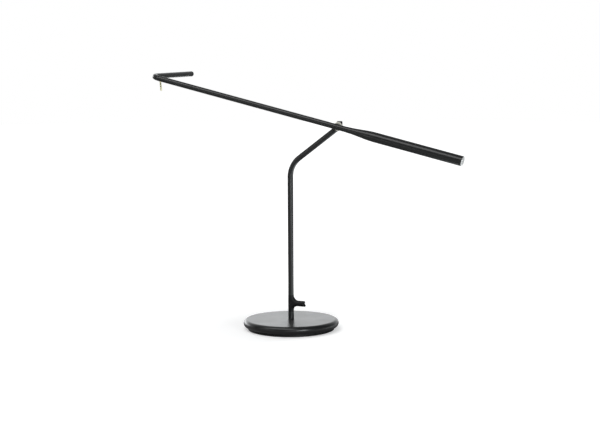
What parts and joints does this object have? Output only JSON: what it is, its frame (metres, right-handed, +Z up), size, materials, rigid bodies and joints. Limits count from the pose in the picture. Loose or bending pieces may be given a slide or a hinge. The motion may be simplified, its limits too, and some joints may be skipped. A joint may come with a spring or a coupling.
{
  "type": "desk lamp",
  "caption": "Counterweight balance desk lamp: round weighted base, swivelling bent stem, long tilting arm with tapered counterweight and a rolling linear lamp head with a brass pin.",
  "frame": {"origin": "centre of the foot pad's underside, on the table", "axes": "+X in the plane of the bent stem, towards the counterweight; +Y the way the lamp head points from its corner; +Z up"},
  "size_m": [0.8007, 0.2953, 0.6029],
  "materials": {
    "satin_black": "satin",
    "weight_iron": "matte",
    "moulded_black": "matte",
    "pad_rubber": "matte",
    "plain_steel": "satin",
    "bush_polymer": "matte",
    "lead_jacket": "matte",
    "bright_metal": "polished",
    "pin_brass": "satin",
    "board_white": "matte",
    "bar_aluminium": "satin",
    "chip_phosphor": "gloss",
    "opal": "satin"
  },
  "bodies": {
    "base": {"base_cover": "satin_black", "base_weight": "weight_iron", "base_plate": "moulded_black", "foot_pad": "pad_rubber", "base_screws": "plain_steel", "stem_socket": "satin_black", "socket_washer": "plain_steel", "socket_nut": "plain_steel", "swivel_bush": "bush_polymer", "thrust_washer": "moulded_black", "socket_screw": "plain_steel"},
    "stem": {"swivel_spindle": "plain_steel", "cord_outlet": "moulded_black", "cord_gland": "pad_rubber", "supply_lead": "lead_jacket", "stem_tube": "satin_black", "stem_knuckle": "satin_black", "friction_disc": "bush_polymer"},
    "arm": {"arm_boss": "satin_black", "pivot_bush": "bush_polymer", "pivot_screw": "plain_steel", "arm_tube": "satin_black", "arm_lead": "lead_jacket", "counterweight_shell": "satin_black", "counterweight_slug": "plain_steel", "end_plug": "satin_black", "end_disc": "bright_metal", "head_elbow": "satin_black"},
    "head": {"head_tube": "satin_black", "roll_bush": "bush_polymer", "roll_screw": "plain_steel", "pin_holder": "bush_polymer", "brass_pin": "pin_brass", "head_lead": "lead_jacket", "led_connector": "board_white", "led_bar": "bar_aluminium", "led_board": "board_white", "led_chips": "chip_phosphor", "diffuser": "opal", "head_end_cap": "satin_black"}
  },
  "joints": [
    {"name": "stem_swivel", "type": "hinge", "parent": "base", "child": "stem", "pos_m": [0, 0, 0.0418], "axis": [0, 0, 1], "continuous": true},
    {"name": "arm_tilt", "type": "hinge", "parent": "stem", "child": "arm", "pos_m": [0.1262, 0, 0.48532], "axis": [0, 1, 0], "range_deg": [-72, 48]},
    {"name": "head_roll", "type": "hinge", "parent": "arm", "child": "head", "pos_m": [-0.35927, -0.0197, 0.59633], "axis": [0, 1, 0], "range_deg": [-90, 90]}
  ]
}
